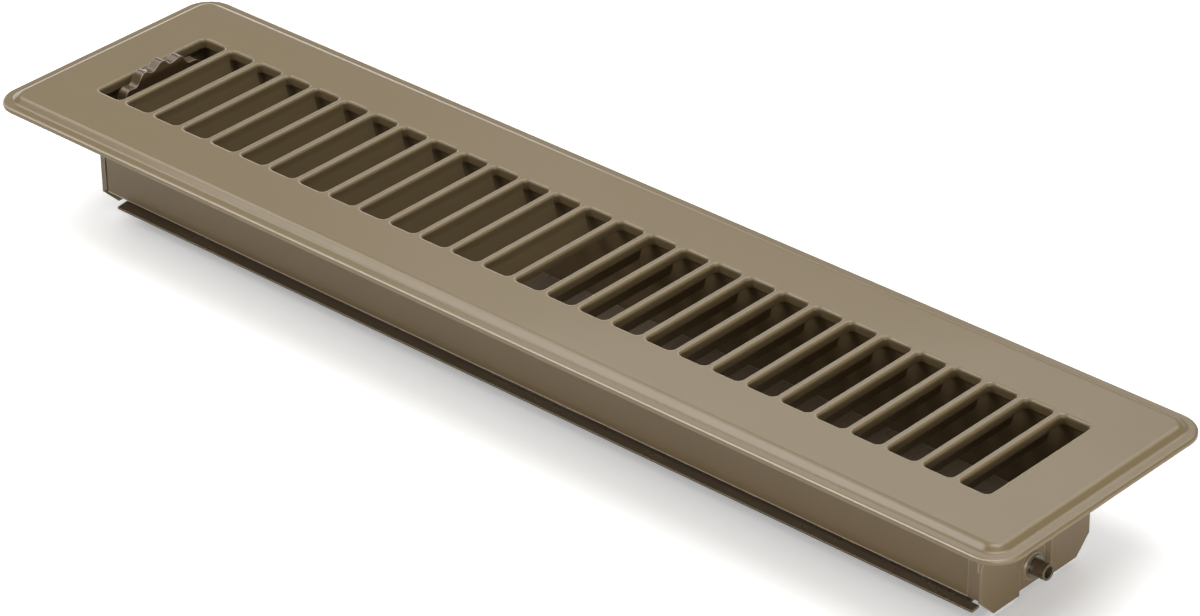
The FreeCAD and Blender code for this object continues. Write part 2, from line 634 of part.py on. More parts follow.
slotHalf = "(studRadius + studSlack)"
slotDepth = "(pivotDepth - wheelDepth - crankRadius - studSlack)"
drawOutline(notch, fromNotch("notchDepth", "(-notchHalfTurn)"), [
    (fromNotch(outside, "(-notchHalfTurn)"),),
    (fromNotch(outside, "notchHalfTurn"),),
    (fromNotch("notchDepth", "notchHalfTurn"),),
    (fromNotch("notchDepth", "0", slotHalf),),
    (fromNotch(slotDepth, "0", slotHalf),),
    (fromNotch(slotDepth, "0", "(-%s)" % slotHalf), fromNotch(slotDepth, "0"), 1),
    (fromNotch("notchDepth", "0", "(-%s)" % slotHalf),),
    (fromNotch("notchDepth", "(-notchHalfTurn)"),),
])
extrude("Pocket", wheel, "notchCut", notch, "(3 * wheelBand)")
bore = sketchOn(wheel, "boreOutline", "YZ_Plane", "wheelBand")
drawCircle(bore, "0", "0", "(axleRadius + runningGap)")
wheel.Tip = extrude("Pocket", wheel, "bore", bore, "(3 * wheelBand)")

# Wheel axle, clinched in the left end plate, and the thin washer that gives the wheel its drag
axle = newBody("wheel_axle", z="-wheelDepth")
axleSection = sketchOn(axle, "axleSection", "XZ_Plane")
axleInner = "(%s + wheelSheet + faceGap)" % wheelX
drawPolygon(axleSection, [
    ("(-%s - axleHeadHeight)" % floorOut, "0"), ("(-%s - axleHeadHeight)" % floorOut, "axleRadius"),
    ("-" + floorOut, "axleClinch"), ("-" + floorOut, "axleRadius"), (axleInner, "axleRadius"),
    (axleInner, "axleHead"), ("(%s + axleHeadHeight)" % axleInner, "axleRadius"),
    ("(%s + axleHeadHeight)" % axleInner, "0")])
axleTurn = axle.newObject("PartDesign::Revolution", "axleTurn")
axleTurn.Profile = axleSection
axleTurn.ReferenceAxis = (originPart(axle, "X_Axis"), [""])
axleTurn.Angle = 360.0
axle.Tip = axleTurn

washer = newBody("friction_washer", x="-" + floorIn, z="-wheelDepth")
washerRing = sketchOn(washer, "washerRing", "YZ_Plane")
drawCircle(washerRing, "0", "0", "frictionRadius")
drawCircle(washerRing, "0", "0", "(axleRadius + runningGap)")
washer.Tip = extrude("Pad", washer, "washerSheet", washerRing, "frictionSheet")

doc.recompute()
bodies = [thing for thing in doc.Objects if thing.TypeId == "PartDesign::Body"]
for thing in doc.Objects:
    if "Invalid" in thing.State or "Error" in thing.State:
        raise RuntimeError("not made: " + thing.Name)
for thing in bodies:
    if thing.Shape.isNull() or not thing.Shape.isValid() or len(thing.Shape.Solids) != 1:
        raise RuntimeError("not one sound solid: " + thing.Name)
os.makedirs("parts", exist_ok=True)
for thing in bodies:
    thing.Shape.exportStep("parts/%s.step" % thing.Label)
    print(thing.Label, round(thing.Shape.Volume, 1))
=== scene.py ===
import math
import bpy
from mathutils import Matrix, Vector
from mathutils.geometry import delaunay_2d_cdt


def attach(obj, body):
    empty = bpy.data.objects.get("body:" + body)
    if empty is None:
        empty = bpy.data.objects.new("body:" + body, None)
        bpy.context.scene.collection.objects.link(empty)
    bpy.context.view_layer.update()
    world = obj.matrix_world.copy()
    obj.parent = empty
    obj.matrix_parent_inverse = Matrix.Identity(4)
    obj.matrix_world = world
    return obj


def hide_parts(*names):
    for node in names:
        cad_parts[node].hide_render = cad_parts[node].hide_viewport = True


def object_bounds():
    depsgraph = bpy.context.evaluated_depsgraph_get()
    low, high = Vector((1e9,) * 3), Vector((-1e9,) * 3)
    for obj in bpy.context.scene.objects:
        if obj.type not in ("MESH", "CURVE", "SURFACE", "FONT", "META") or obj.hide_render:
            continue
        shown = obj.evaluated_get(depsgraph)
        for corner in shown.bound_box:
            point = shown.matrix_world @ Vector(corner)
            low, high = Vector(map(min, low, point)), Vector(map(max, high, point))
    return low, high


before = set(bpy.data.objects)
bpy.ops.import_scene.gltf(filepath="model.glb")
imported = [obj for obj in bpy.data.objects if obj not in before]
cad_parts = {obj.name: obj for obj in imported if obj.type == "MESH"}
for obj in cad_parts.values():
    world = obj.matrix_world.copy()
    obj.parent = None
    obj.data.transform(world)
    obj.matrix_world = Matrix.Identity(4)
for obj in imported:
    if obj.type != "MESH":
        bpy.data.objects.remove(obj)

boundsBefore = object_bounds()
scene = bpy.context.scene
print("stage: frame loaded")


# shared helpers
def linearColour(red, green, blue):
    # 0..255 display values to scene linear
    def channel(value):
        value = value / 255
        return value / 12.92 if value <= 0.04045 else ((value + 0.055) / 1.055) ** 2.4
    return (channel(red), channel(green), channel(blue), 1.0)


def addObject(name, data):
    made = bpy.data.objects.new(name, data)
    scene.collection.objects.link(made)
    return made


def addNode(tree, kind, place, **settings):
    node = tree.nodes.new(kind)
    node.location = place
    for name, value in settings.items():
        setattr(node, name, value)
    return node


def newGroup(name, inputs, outputs):
    group = bpy.data.node_groups.new(name, "ShaderNodeTree")
    for label, kind, value in inputs:
        socket = group.interface.new_socket(label, in_out="INPUT", socket_type="NodeSocket" + kind)
        if value is not None:
            socket.default_value = value
    for label, kind in outputs:
        group.interface.new_socket(label, in_out="OUTPUT", socket_type="NodeSocket" + kind)
    start = addNode(group, "NodeGroupInput", (-900, 0))
    end = addNode(group, "NodeGroupOutput", (900, 0))
    return group, start, end


def feed(tree, socket, value):
    # links another node's output, or sets a plain value
    if hasattr(value, "is_output"):
        tree.links.new(value, socket)
    else:
        socket.default_value = value


def mathNode(tree, operation, first, second, place, clamp=False):
    node = addNode(tree, "ShaderNodeMath", place, operation=operation, use_clamp=clamp)
    feed(tree, node.inputs[0], first)
    feed(tree, node.inputs[1], second)
    return node.outputs[0]


def noiseNode(tree, vector, scale, detail, rough, place):
    node = addNode(tree, "ShaderNodeTexNoise", place)
    for label, value in (("Vector", vector), ("Scale", scale), ("Detail", detail), ("Roughness", rough)):
        feed(tree, node.inputs[label], value)
    return node.outputs["Fac"]


# effects shared by the materials
effectLook = {
    "peelStep": 0.0002,  # height in metres that the peel's bump stands for
    "peelDetail": 3.0,
    "peelRough": 0.55,
    "mottleScale": 35.0,
    "mottleDetail": 4.0,
    "mottleRough": 0.6,
    "bevelSamples": 6,
    "edgeGain": 9.0,  # how fast the mask rises over an edge
    "downGain": -6.0,  # how fast it rises where the bevelled normal points down
    "breakDetail": 3.0,
    "breakRough": 0.6,
}


def buildOrangePeel():
    # fine ripple of sprayed enamel, as a normal, with a slow change of gloss
    group, start, end = newGroup(
        "orangePeel",
        [("Peel scale", "Float", 900.0), ("Peel height", "Float", 0.08), ("Gloss spread", "Float", 0.06)],
        [("Normal", "Vector"), ("Gloss", "Float"), ("Mottle", "Float")])
    place = addNode(group, "ShaderNodeTexCoord", (-700, 200))
    fine = noiseNode(group, place.outputs["Object"], start.outputs["Peel scale"], effectLook["peelDetail"],
                     effectLook["peelRough"], (-450, 250))
    coarse = noiseNode(group, place.outputs["Object"], effectLook["mottleScale"], effectLook["mottleDetail"],
                       effectLook["mottleRough"], (-450, -50))
    bump = addNode(group, "ShaderNodeBump", (150, 250))
    bump.inputs["Distance"].default_value = effectLook["peelStep"]
    group.links.new(fine, bump.inputs["Height"])
    group.links.new(start.outputs["Peel height"], bump.inputs["Strength"])
    centred = mathNode(group, "SUBTRACT", coarse, 0.5, (-150, -50))
    spread = mathNode(group, "MULTIPLY", centred, start.outputs["Gloss spread"], (50, -50))
    group.links.new(bump.outputs["Normal"], end.inputs["Normal"])
    group.links.new(spread, end.inputs["Gloss"])
    group.links.new(coarse, end.inputs["Mottle"])
    return group


def buildEdgeMask():
    # mask of sharp outer edges, from the difference between the bevelled and the plain normal; the materials paint a
    # highlight colour through it
    group, start, end = newGroup(
        "edgeMask",
        [("Radius", "Float", 0.0006), ("Break up", "Float", 0.5), ("Break scale", "Float", 220.0),
         ("Lower only", "Float", 0.0)],
        [("Mask", "Float"), ("Normal", "Vector")])
    bevel = addNode(group, "ShaderNodeBevel", (-600, 200), samples=effectLook["bevelSamples"])
    group.links.new(start.outputs["Radius"], bevel.inputs["Radius"])
    geometry = addNode(group, "ShaderNodeNewGeometry", (-600, -50))
    dot = addNode(group, "ShaderNodeVectorMath", (-380, 100), operation="DOT_PRODUCT")
    group.links.new(bevel.outputs["Normal"], dot.inputs[0])
    group.links.new(geometry.outputs["Normal"], dot.inputs[1])
    away = mathNode(group, "SUBTRACT", 1.0, dot.outputs["Value"], (-180, 100))
    strong = mathNode(group, "MULTIPLY", away, effectLook["edgeGain"], (0, 100), True)
    place = addNode(group, "ShaderNodeTexCoord", (-600, -300))
    noise = noiseNode(group, place.outputs["Object"], start.outputs["Break scale"], effectLook["breakDetail"],
                      effectLook["breakRough"], (-380, -300))
    broken = mathNode(group, "MULTIPLY", noise, start.outputs["Break up"], (-180, -300))
    kept = mathNode(group, "SUBTRACT", 1.0, broken, (0, -300))
    mask = mathNode(group, "MULTIPLY", strong, kept, (250, 0), True)
    split = addNode(group, "ShaderNodeSeparateXYZ", (-380, 350))
    group.links.new(bevel.outputs["Normal"], split.inputs[0])
    lower = mathNode(group, "MULTIPLY", split.outputs["Z"], effectLook["downGain"], (-180, 350), True)
    chosen = addNode(group, "ShaderNodeMix", (250, 250), data_type="FLOAT")
    group.links.new(start.outputs["Lower only"], chosen.inputs[0])
    chosen.inputs[2].default_value = 1.0
    group.links.new(lower, chosen.inputs[3])
    group.links.new(mathNode(group, "MULTIPLY", mask, chosen.outputs[0], (500, 100), True), end.inputs["Mask"])
    group.links.new(bevel.outputs["Normal"], end.inputs["Normal"])
    return group


orangePeel = buildOrangePeel()
edgeMask = buildEdgeMask()
print("stage: effects built")


# materials
def useGroup(tree, group, place, **values):
    node = addNode(tree, "ShaderNodeGroup", place, node_tree=group)
    for label, value in values.items():
        node.inputs[label.replace("_", " ")].default_value = value
    return node


def mixColour(tree, factor, first, second, place):
    node = addNode(tree, "ShaderNodeMix", place, data_type="RGBA")
    for index, value in ((0, factor), (6, first), (7, second)):  # the node's colour sockets are 6, 7 and 2
        feed(tree, node.inputs[index], value)
    return node.outputs[2]


def startFinish(name, look):
    # new material with both effects in place, its mottled colour and its changing gloss
    made = bpy.data.materials.new(name)
    made.use_nodes = True
    tree = made.node_tree
    shader = tree.nodes["Principled BSDF"]
    peel = useGroup(tree, orangePeel, (-900, 300), Peel_scale=look["peelScale"], Peel_height=look["peelHeight"],
                    Gloss_spread=look["glossSpread"])
    edges = useGroup(tree, edgeMask, (-900, 0), Radius=look["edgeRadius"], Break_up=look["edgeBreak"],
                     Lower_only=look["lowerEdge"])
    mottled = mixColour(tree, peel.outputs["Mottle"], look["colour"], look["colourDeep"], (-600, 300))
    tree.links.new(mathNode(tree, "ADD", peel.outputs["Gloss"], look["roughness"], (-350, 0), True),
                   shader.inputs["Roughness"])
    return made, tree, shader, peel, edges, mottled


def enamel(name, look):
    # sprayed satin enamel over steel: ripple, mottle, a painted highlight on sharp edges and painted highlight lines
    # on the front bends
    made, tree, shader, peel, edges, mottled = startFinish(name, look)
    # sharp edges take a lighter colour: a painted highlight
    edgeHighlighted = mixColour(tree, mathNode(tree, "MULTIPLY", edges.outputs["Mask"], look["edgeHighlightShare"], (-600, 0)),
                      mottled, look["colourEdgeHighlight"], (-350, 200))
    # the marked bend lines take a near-white colour: painted highlight lines
    bend = addNode(tree, "ShaderNodeAttribute", (-600, 550), attribute_name="bendHighlight")
    bendHighlightAmount = mathNode(tree, "MULTIPLY", bend.outputs["Fac"], look["bendHighlightShare"], (-350, 500))
    tree.links.new(mixColour(tree, bendHighlightAmount, edgeHighlighted, look["colourBendHighlight"], (-150, 350)), shader.inputs["Base Color"])
    bent = addNode(tree, "ShaderNodeVectorMath", (-350, -400), operation="ADD")
    tree.links.new(peel.outputs["Normal"], bent.inputs[0])
    tree.links.new(edges.outputs["Normal"], bent.inputs[1])
    even = addNode(tree, "ShaderNodeVectorMath", (-150, -400), operation="NORMALIZE")
    tree.links.new(bent.outputs[0], even.inputs[0])
    tree.links.new(even.outputs[0], shader.inputs["Normal"])
    shader.inputs["Metallic"].default_value = look["metallic"]
    shader.inputs["Specular IOR Level"].default_value = look["specular"]
    shader.inputs["Coat Weight"].default_value = look["coat"]
    shader.inputs["Coat Roughness"].default_value = look["coatRoughness"]
    return made


faceLook = {
    "colour": linearColour(114, 99, 72),
    "colourDeep": linearColour(110, 95, 68),
    # lighter colour on sharp edges: a painted highlight
    "colourEdgeHighlight": linearColour(128, 114, 91),
    # near-white colour along the marked bends: painted highlight lines
    "colourBendHighlight": linearColour(204, 196, 180),
    "bendHighlightShare": 0.55,  # how strongly the painted highlight lines on the marked bends show
    "roughness": 0.30,
    "glossSpread": 0.08,
    "peelScale": 900.0,
    "peelHeight": 0.08,
    "edgeRadius": 0.0004,
    "edgeBreak": 0.4,
    "edgeHighlightShare": 0.5,
    "lowerEdge": 0.0,  # 1 keeps the painted edge highlight to the lower edges
    "metallic": 0.0,
    "specular": 0.5,
    "coat": 0.14,
    "coatRoughness": 0.07,
}
# walls: a near-white painted highlight along their lower edges; end plates: a fainter painted highlight on every edge
wallLook = dict(faceLook, colour=linearColour(113, 95, 68), colourDeep=linearColour(107, 90, 64),
                roughness=0.32, edgeHighlightShare=1.0, edgeBreak=0.2, edgeRadius=0.0007, lowerEdge=1.0,
                colourEdgeHighlight=linearColour(228, 218, 200))
plateLook = dict(wallLook, colour=linearColour(116, 100, 76), colourDeep=linearColour(111, 95, 71), edgeHighlightShare=0.35,
                 edgeRadius=0.0004, lowerEdge=0.0)
# blade: a light painted highlight on its edges
bladeLook = dict(faceLook, colour=linearColour(104, 90, 71), colourDeep=linearColour(82, 70, 54),
                 colourEdgeHighlight=linearColour(190, 176, 152), roughness=0.28, edgeHighlightShare=0.8,
                 metallic=0.3, edgeRadius=0.0003)
# wheel: paint set darker than the face paint it shares, as painted shade for its place deep in the slot; its edges
# carry a light painted highlight
wheelLook = dict(faceLook, colour=linearColour(84, 68, 46), colourDeep=linearColour(70, 56, 38),
                 colourEdgeHighlight=linearColour(204, 188, 160), roughness=0.25, edgeHighlightShare=0.6,
                 metallic=0.1, edgeRadius=0.0004)


def brightSteel(name, look):
    # zinc-plated steel, finely grained, with a painted glint on its edges
    made, tree, shader, peel, edges, mottled = startFinish(name, look)
    # near-white colour on the edges: a painted glint
    tree.links.new(mixColour(tree, edges.outputs["Mask"], mottled, look["colourEdgeHighlight"], (-350, 200)),
                   shader.inputs["Base Color"])
    tree.links.new(peel.outputs["Normal"], shader.inputs["Normal"])
    shader.inputs["Metallic"].default_value = look["metallic"]
    return made


steelLook = {
    "colour": linearColour(205, 203, 198),
    "colourDeep": linearColour(172, 170, 166),
    # near-white colour for the edges: a painted glint
    "colourEdgeHighlight": linearColour(235, 234, 230),
    "roughness": 0.24,
    "glossSpread": 0.12,
    "peelScale": 2200.0,
    "peelHeight": 0.15,
    "edgeRadius": 0.0002,
    "edgeBreak": 0.2,
    "lowerEdge": 0.0,
    "metallic": 1.0,
}

facePaint = enamel("facePaint", faceLook)
wallPaint = enamel("wallPaint", wallLook)
platePaint = enamel("platePaint", plateLook)
bladePaint = enamel("bladePaint", bladeLook)
wheelPaint = enamel("wheelPaint", wheelLook)
zincSteel = brightSteel("zincSteel", steelLook)
finishes = {
    "faceplate": facePaint,
    "near_side_wall": wallPaint,
    "far_side_wall": wallPaint,
    "left_end_plate": platePaint,
    "right_end_plate": platePaint,
    "damper_blade": bladePaint,
    "thumbwheel": wheelPaint,
    "drive_stud": zincSteel,
    "wheel_axle": zincSteel,
    "friction_washer": zincSteel,
    "left_pivot_retainer": zincSteel,
    "right_pivot_retainer": zincSteel,
}
for nodeName, finish in finishes.items():
    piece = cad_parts[nodeName]
    piece.data.materials.clear()
    piece.data.materials.append(finish)
print("stage: materials on")


# faceplate: the same stamping as the solid, with finer bends and drawn edges
faceSizes = {
    # metres and degrees
    "length": 0.3956, "width": 0.0930, "rise": 0.0033, "sheet": 0.0008, "corner": 0.0094,
    # rim: the lip, its rolled edge, and the slope up to the field with its two bends
    "lipRise": 0.0015, "lipWidth": 0.00255, "lipEdge": 0.0009, "slope": 42.0, "shoulder": 0.0027, "foot": 0.0017,
    # slots with their drawn edges and collars
    "slots": 28, "pitch": 0.01257, "slotWidth": 0.0100, "slotLength": 0.0452, "slotCorner": 0.0017,
    "slotEdge": 0.0010, "collar": 0.00315,
    # fins: 13 hang from the left, the others from the right
    "leftFins": 13, "finAngle": 16.0, "finBend": 0.0090, "finRun": 0.0060, "finEdge": 0.0002,
    # angles on the bends where the painted highlight lines sit, and how far they spread
    "edgeLine": 45.0, "slotLine": 18.0, "lineSpread": 17.0,
    # how finely corners and bends are divided
    "cornerSteps": 9, "bendSteps": 8,
    "hair": 1e-7,  # closer points count as one
}


class SheetMesh:
    # points with their own normals, so that bends shade smoothly and cut edges stay crisp
    def __init__(self):
        self.points = []
        self.normals = []
        # per point weight of the painted highlight lines on the bends
        self.bends = []
        self.faces = []

    def addPoint(self, point, normal, bend=0.0):
        self.points.append(point)
        self.normals.append(normal)
        self.bends.append(bend)
        return len(self.points) - 1

    def addRing(self, outline, lift, out, up, bend=0.0):
        # the painted highlight lines are kept to the runs that face the front
        return [self.addPoint((x, y, lift), (outX * out, outY * out, up), bend * max(0.0, -outY))
                for x, y, outX, outY in outline]

    def bridge(self, first, second):
        count = len(first)
        for index in range(count):
            after = (index + 1) % count
            self.addFace((first[index], first[after], second[after], second[index]))

    def addFace(self, corners):
        # the face turns to the side that its points' normals show
        spots = [Vector(self.points[corner]) for corner in corners]
        facing = Vector((0.0, 0.0, 0.0))
        for index, spot in enumerate(spots):
            facing += spot.cross(spots[(index + 1) % len(spots)])
        wanted = sum((Vector(self.normals[corner]) for corner in corners), Vector((0.0, 0.0, 0.0)))
        self.faces.append(tuple(corners) if facing.dot(wanted) >= 0 else tuple(reversed(corners)))

    def fillFlat(self, outer, holes):
        # flat sheet between an outer ring and the rings of its holes
        rings = [outer] + holes
        numbers = [corner for ring in rings for corner in ring]
        spots = [Vector(self.points[corner][:2]) for corner in numbers]
        borders = []
        start = 0
        for ring in rings:
            borders += [(start + index, start + (index + 1) % len(ring)) for index in range(len(ring))]
            start += len(ring)
        boxes = []
        for ring in holes:
            xs = [self.points[corner][0] for corner in ring]
            boxes.append((min(xs), max(xs), max(self.points[corner][1] for corner in ring)))
        hair = faceSizes["hair"]
        # kind 1 keeps the triangles inside the outer border
        triangles, origins = delaunay_2d_cdt(spots, borders, [], 1, hair)[2:4]
        for triangle in triangles:
            corners = [numbers[origins[corner][0]] for corner in triangle]
            middle = sum((Vector(self.points[corner]) for corner in corners), Vector((0.0, 0.0, 0.0))) / 3
            xs = [self.points[corner][0] for corner in corners]
            inHole = any(low < middle.x < high and low - hair <= min(xs) and max(xs) <= high + hair
                         and abs(middle.y) < reach for low, high, reach in boxes)
            if not inHole:
                self.addFace(corners)

    def build(self, name):
        mesh = bpy.data.meshes.new(name)
        mesh.from_pydata(self.points, [], self.faces)
        for face in mesh.polygons:
            face.use_smooth = True
        mesh.normals_split_custom_set_from_vertices([Vector(normal).normalized() for normal in self.normals])
        # the painted highlight lines go to the material as a point attribute
        bendHighlightAttribute = mesh.attributes.new("bendHighlight", "FLOAT", "POINT")
        bendHighlightAttribute.data.foreach_set("value", self.bends)
        return addObject(name, mesh)


def roundedOutline(halfX, halfY, radius, midX=0.0):
    # points round a rectangle with round corners, each with its outward direction
    rows = []
    steps = faceSizes["cornerSteps"]
    for sideX, sideY, start in ((1, 1, 0), (-1, 1, 90), (-1, -1, 180), (1, -1, 270)):
        for step in range(steps + 1):
            angle = math.radians(start + 90 * step / steps)
            outX, outY = math.cos(angle), math.sin(angle)
            rows.append((midX + sideX * (halfX - radius) + radius * outX,
                         sideY * (halfY - radius) + radius * outY, outX, outY))
    return rows


def bendAngles(first, last):
    steps = faceSizes["bendSteps"]
    return [math.radians(first + (last - first) * step / steps) for step in range(steps + 1)]


def highlightWeight(angle, middle, spread):
    # weight of the painted highlight line at this angle of a bend, 0 to 1
    return max(0.0, 1.0 - abs(math.degrees(angle) - middle) / spread)


def rimProfile(sizes):
    # rows of inset from the edge, height and normal, in runs that are smooth within themselves
    slope = sizes["slope"]
    sheet = sizes["sheet"]
    tilt = math.radians(slope)
    bends = sizes["shoulder"] + sizes["foot"]
    drop = sizes["rise"] - sizes["lipRise"] - bends * (1 - math.cos(tilt))
    run = sizes["lipWidth"] + bends * math.sin(tilt) + drop / math.tan(tilt)
    footIn = sizes["lipWidth"]

    def arc(inset, lift, radius, angles, side):
        return [(inset - radius * math.sin(a), lift + radius * math.cos(a), side * math.sin(a), side * math.cos(a))
                for a in angles]

    top = arc(run, sizes["rise"] - sizes["shoulder"], sizes["shoulder"], bendAngles(0, slope), 1)
    top += arc(footIn, sizes["lipRise"] + sizes["foot"], -sizes["foot"], bendAngles(slope, 0), 1)
    top += arc(sizes["lipEdge"], sizes["lipRise"] - sizes["lipEdge"], sizes["lipEdge"], bendAngles(0, 90), 1)
    top.append((0.0, 0.0, 1.0, 0.0))
    under = [(sheet, 0.0, -1.0, 0.0), (sheet, sizes["lipRise"] - sizes["lipEdge"], -1.0, 0.0)]
    under += arc(sizes["lipEdge"], sizes["lipRise"] - sizes["lipEdge"], sizes["lipEdge"] - sheet,
                 bendAngles(90, 0), -1)
    under += arc(footIn, sizes["lipRise"] + sizes["foot"], -sizes["foot"] - sheet, bendAngles(0, slope), -1)
    under += arc(run, sizes["rise"] - sizes["shoulder"], sizes["shoulder"] - sheet, bendAngles(slope, 0), -1)
    return top, under


def addFin(sheet, sizes, wallX, side):
    # slanted fin: a bend from the slot's rounded edge, a straight run and a cut edge with its corners broken
    angle = sizes["finAngle"]
    thick = sizes["sheet"]
    top = sizes["rise"] - sizes["slotEdge"]
    rows = []
    for turn in bendAngles(0, angle):
        rows.append((sizes["finBend"] * (1 - math.cos(turn)), top - sizes["finBend"] * math.sin(turn), turn))
    last = math.radians(angle)
    ends = rows[-1]
    edge = sizes["finEdge"]
    downU, downZ = math.sin(last), -math.cos(last)
    rows.append((ends[0] + (sizes["finRun"] - edge) * downU, ends[1] + (sizes["finRun"] - edge) * downZ, last))
    front = [(u, z, math.cos(turn), math.sin(turn)) for u, z, turn in rows]
    back = [(u - thick * math.cos(turn), z - thick * math.sin(turn), -math.cos(turn), -math.sin(turn))
            for u, z, turn in reversed(rows)]
    normalU, normalZ = math.cos(last), math.sin(last)
    tipFront = []
    tipBack = []
    for turn in bendAngles(0, 90):
        alongNormal, alongDown = edge * (math.cos(turn) - 1), edge * math.sin(turn)
        u, z = rows[-1][0], rows[-1][1]
        bentU = math.cos(turn) * normalU + math.sin(turn) * downU
        bentZ = math.cos(turn) * normalZ + math.sin(turn) * downZ
        tipFront.append((u + alongNormal * normalU + alongDown * downU, z + alongNormal * normalZ
                         + alongDown * downZ, bentU, bentZ))
        inward = -thick - alongNormal
        backU = -math.cos(turn) * normalU + math.sin(turn) * downU
        backZ = -math.cos(turn) * normalZ + math.sin(turn) * downZ
        tipBack.append((u + inward * normalU + alongDown * downU, z + inward * normalZ + alongDown * downZ,
                        backU, backZ))
    section = front + tipFront[1:] + list(reversed(tipBack)) + back[1:]
    half = sizes["slotLength"] / 2 - sizes["slotCorner"]
    rings = []
    for y in (-half, half):
        rings.append([sheet.addPoint((wallX - side * u, y, z), (-side * outU, 0.0, outZ))
                      for u, z, outU, outZ in section])
        sheet.addFace([sheet.addPoint((wallX - side * u, y, z), (0.0, math.copysign(1.0, y), 0.0))
                       for u, z, outU, outZ in section])
    sheet.bridge(rings[0], rings[1])


def buildFaceSheet(sizes):
    sheet = SheetMesh()
    topRun, underRun = rimProfile(sizes)
    outerRings = []
    for rows in (topRun, underRun):
        rings = []
        for inset, lift, out, up in rows:
            # the lip's rolled edge carries a painted highlight line on its front runs
            onEdge = inset < sizes["lipEdge"] and up > 0
            bend = highlightWeight(math.asin(min(1.0, out)), sizes["edgeLine"], sizes["lineSpread"]) if onEdge else 0.0
            rings.append(sheet.addRing(roundedOutline(sizes["length"] / 2 - inset, sizes["width"] / 2 - inset,
                                                      sizes["corner"] - inset), lift, out, up, bend))
        for first, second in zip(rings, rings[1:]):
            sheet.bridge(first, second)
        outerRings.append(rings)
    outline = roundedOutline(sizes["length"] / 2, sizes["width"] / 2, sizes["corner"])
    inner = roundedOutline(sizes["length"] / 2 - sizes["sheet"], sizes["width"] / 2 - sizes["sheet"],
                           sizes["corner"] - sizes["sheet"])
    sheet.bridge(sheet.addRing(outline, 0.0, 0.0, -1.0), sheet.addRing(inner, 0.0, 0.0, -1.0))
    halfX, halfY = sizes["slotWidth"] / 2, sizes["slotLength"] / 2
    collarLow = sizes["rise"] - sizes["collar"]
    topHoles = []
    underHoles = []
    for index in range(sizes["slots"]):
        midX = (index - (sizes["slots"] - 1) / 2) * sizes["pitch"]

        def slotRing(growth, lift, out, up, bend=0.0):
            return sheet.addRing(roundedOutline(halfX + growth, halfY + growth, sizes["slotCorner"] + growth, midX),
                                 lift, out, up, bend)

        # the slots' rounded edges carry painted highlight lines on their front runs
        rings = [slotRing(sizes["slotEdge"] * (1 - math.sin(a)), sizes["rise"] - sizes["slotEdge"] * (1 - math.cos(a)),
                          -math.sin(a), math.cos(a), highlightWeight(a, sizes["slotLine"], sizes["lineSpread"]))
                 for a in bendAngles(0, 90)]
        rings.append(slotRing(0.0, collarLow, -1.0, 0.0))
        for first, second in zip(rings, rings[1:]):
            sheet.bridge(first, second)
        topHoles.append(rings[0])
        thick = sizes["sheet"]
        sheet.bridge(slotRing(0.0, collarLow, 0.0, -1.0), slotRing(thick, collarLow, 0.0, -1.0))
        outside = slotRing(thick, sizes["rise"] - thick, 1.0, 0.0)
        sheet.bridge(slotRing(thick, collarLow, 1.0, 0.0), outside)
        underHoles.append(slotRing(thick, sizes["rise"] - thick, 0.0, -1.0))
        if 0 < index <= sizes["leftFins"]:
            addFin(sheet, sizes, midX - halfX, -1)
        elif index > sizes["leftFins"]:
            addFin(sheet, sizes, midX + halfX, 1)
    sheet.fillFlat(outerRings[0][0], topHoles)
    sheet.fillFlat(outerRings[1][-1], underHoles)
    made = sheet.build("faceSheet")
    made.data.materials.append(finishes["faceplate"])
    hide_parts("faceplate")
    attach(made, "housing")
    return made


faceSheet = buildFaceSheet(faceSizes)
print("stage: faceplate built,", len(faceSheet.data.polygons), "faces")


# floor and backdrop
stageLook = {
    "floorSize": 14.0,
    "floorBounce": (0.80, 0.80, 0.79, 1.0),
    "floorSeen": (0.96, 0.96, 0.96, 1.0),
    "floorGlow": 0.30,  # seen by the camera only, so that the floor reads as white
    "worldSeen": (1.0, 1.0, 1.0, 1.0),
    "skyLow": (1.0, 1.0, 1.0, 1.0),
    "skyHigh": (0.30, 0.30, 0.31, 1.0),
    "skyTurn": 0.30,  # height at which the sky has reached its upper colour
    "worldStrength": 0.55,
}
lowest = min(corner[2] for corner in boundsBefore)


def buildFloor():
    half = stageLook["floorSize"] / 2
    mesh = bpy.data.meshes.new("studioFloor")
    mesh.from_pydata([(-half, -half, lowest), (half, -half, lowest), (half, half, lowest), (-half, half, lowest)],
                     [], [(0, 1, 2, 3)])
    floor = addObject("studioFloor", mesh)
    made = bpy.data.materials.new("floorPaint")
    made.use_nodes = True
    tree = made.node_tree
    tree.nodes.clear()
    seen = addNode(tree, "ShaderNodeLightPath", (-600, 200))
    colour = mixColour(tree, seen.outputs["Is Camera Ray"], stageLook["floorBounce"], stageLook["floorSeen"],
                       (-300, 100))
    diffuse = addNode(tree, "ShaderNodeBsdfDiffuse", (0, 100))
    glow = addNode(tree, "ShaderNodeEmission", (0, -100))
    tree.links.new(mathNode(tree, "MULTIPLY", seen.outputs["Is Camera Ray"], stageLook["floorGlow"], (-300, -150)),
                   glow.inputs["Strength"])
    both = addNode(tree, "ShaderNodeAddShader", (200, 0))
    out = addNode(tree, "ShaderNodeOutputMaterial", (400, 100))
    tree.links.new(colour, diffuse.inputs["Color"])
    tree.links.new(diffuse.outputs[0], both.inputs[0])
    tree.links.new(glow.outputs[0], both.inputs[1])
    tree.links.new(both.outputs[0], out.inputs["Surface"])
    mesh.materials.append(made)


